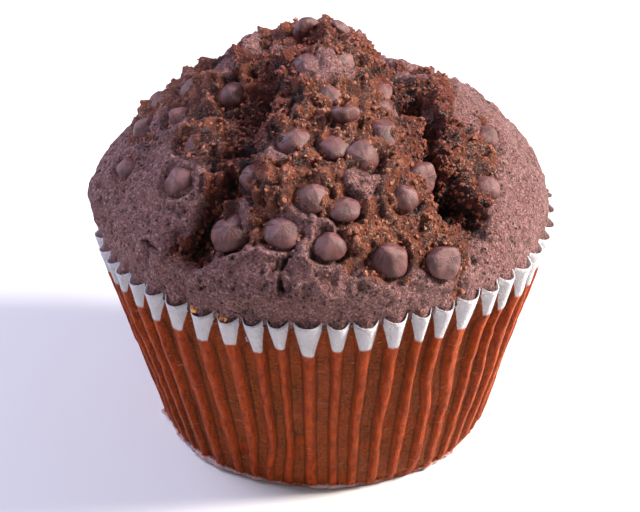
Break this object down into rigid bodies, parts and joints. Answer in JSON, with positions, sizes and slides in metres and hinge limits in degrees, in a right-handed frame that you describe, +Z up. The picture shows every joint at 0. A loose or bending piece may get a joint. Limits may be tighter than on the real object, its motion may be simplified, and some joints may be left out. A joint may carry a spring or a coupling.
{
  "type": "chocolate chip muffin",
  "caption": "Domed chocolate muffin with a cracked, torn top and chocolate chips, in its pleated paper case.",
  "frame": {"origin": "middle of the paper case's flat foot, on the surface it stands on", "axes": "+Z up through the crown; -Y towards the side with the row of five chips; +X to the right of it"},
  "size_m": [0.0786, 0.0786, 0.0721],
  "materials": {
    "cocoa_cake": "matte dark cocoa crust, rough torn crumb",
    "baked_paper": "greasy brown baking paper, dry and white at the rim",
    "chocolate": "satin milk-dark chocolate"
  },
  "bodies": {
    "root": {"cake": "cocoa_cake", "paper_case": "baked_paper", "chip_01": "chocolate", "chip_02": "chocolate", "chip_03": "chocolate", "chip_04": "chocolate", "chip_05": "chocolate", "chip_06": "chocolate", "chip_07": "chocolate", "chip_08": "chocolate", "chip_09": "chocolate", "chip_10": "chocolate", "chip_11": "chocolate", "chip_12": "chocolate", "chip_13": "chocolate", "chip_14": "chocolate", "chip_15": "chocolate", "chip_16": "chocolate", "chip_17": "chocolate", "chip_18": "chocolate", "chip_19": "chocolate", "chip_20": "chocolate", "chip_21": "chocolate", "chip_22": "chocolate", "chip_23": "chocolate", "chip_24": "chocolate", "chip_25": "chocolate", "chip_26": "chocolate", "chip_27": "chocolate", "chip_28": "chocolate", "chip_29": "chocolate", "chip_30": "chocolate", "chip_31": "chocolate", "chip_32": "chocolate", "chip_33": "chocolate", "chip_34": "chocolate", "chip_35": "chocolate", "chip_36": "chocolate", "chip_37": "chocolate", "chip_38": "chocolate", "chip_39": "chocolate", "chip_40": "chocolate", "chip_41": "chocolate", "chip_42": "chocolate", "chip_43": "chocolate", "chip_44": "chocolate", "chip_45": "chocolate", "chip_46": "chocolate", "chip_47": "chocolate", "chip_48": "chocolate"}
  },
  "joints": []
}
